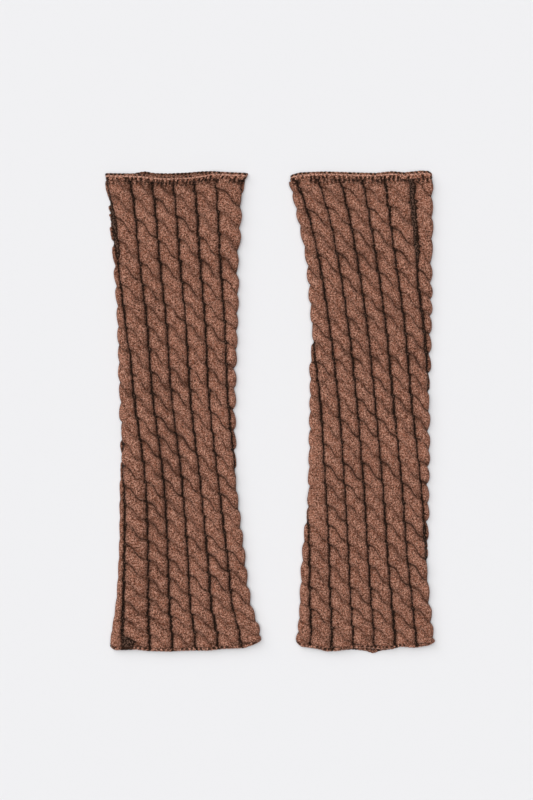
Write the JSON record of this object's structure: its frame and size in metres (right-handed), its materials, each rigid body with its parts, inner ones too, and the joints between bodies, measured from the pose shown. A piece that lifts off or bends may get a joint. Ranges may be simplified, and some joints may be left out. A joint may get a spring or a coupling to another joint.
{
  "type": "pair of knitted leg warmers",
  "caption": "Pair of cable-knit leg warmers laid flat side by side: flattened open tubes with rope cables, a narrow welt round the mouth and a thin cast-off hem.",
  "frame": {"origin": "on the surface that the pair lies on, under the middle of the pair's outline", "axes": "+Y up the legs from hem to mouth, +X across the pair to its right as seen from above, +Z away from the surface"},
  "size_m": [0.2889, 0.4212, 0.0088],
  "materials": {
    "cable_wool": "matt heathered brown knit",
    "edge_wool": "matt brown knit flecked with black"
  },
  "bodies": {
    "root": {"left_tube": "cable_wool", "left_top_welt": "edge_wool", "left_cast_off_edge": "edge_wool", "right_tube": "cable_wool", "right_top_welt": "edge_wool", "right_cast_off_edge": "edge_wool"}
  },
  "joints": []
}
